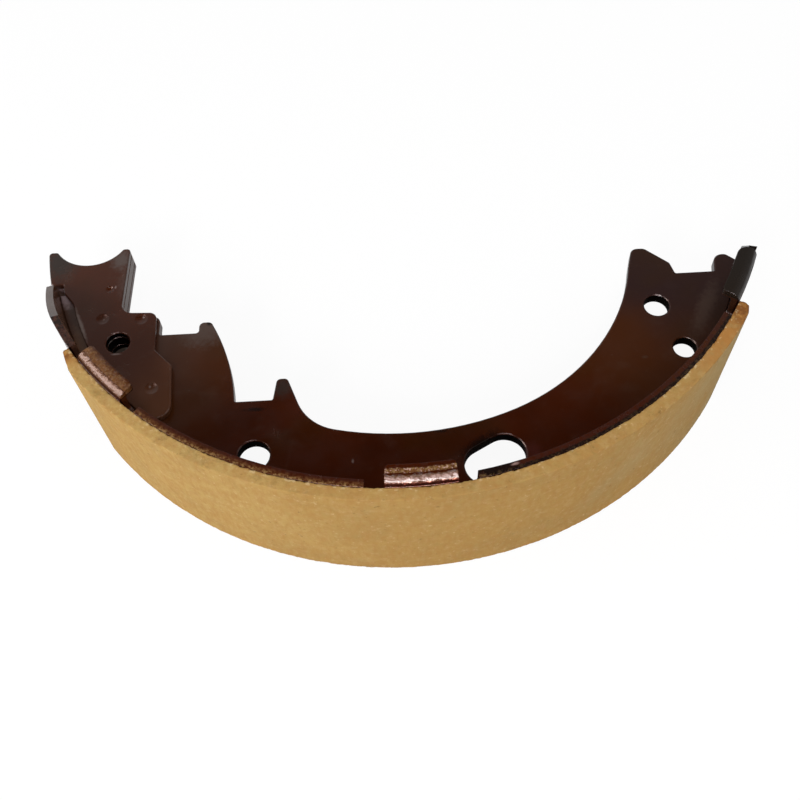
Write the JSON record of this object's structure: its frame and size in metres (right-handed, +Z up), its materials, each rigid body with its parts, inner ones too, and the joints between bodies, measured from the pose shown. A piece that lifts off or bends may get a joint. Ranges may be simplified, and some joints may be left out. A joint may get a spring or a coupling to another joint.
{
  "type": "brake shoe",
  "caption": "Drum brake shoe: stamped web with doubler plates and a forked anchor end, welded to a curved rim with folded wear tabs and a bonded friction lining.",
  "frame": {"origin": "middle of the lining's rubbing face, in the plane of the plain edge that the shoe rests on", "axes": "+Z up, along the drum axis, towards the folded tabs; +Y from the middle of the lining towards the drum axis, which is 155 mm away; +X towards the adjuster end"},
  "size_m": [0.2928, 0.137, 0.063],
  "materials": {
    "plate_paint": "glossy dark brown paint",
    "rim_paint": "glossy dark brown paint",
    "friction_material": "ground, tan friction composite"
  },
  "bodies": {
    "root": {"web": "plate_paint", "front_doubler": "plate_paint", "back_doubler": "plate_paint", "rim": "rim_paint", "lining": "friction_material"}
  },
  "joints": []
}
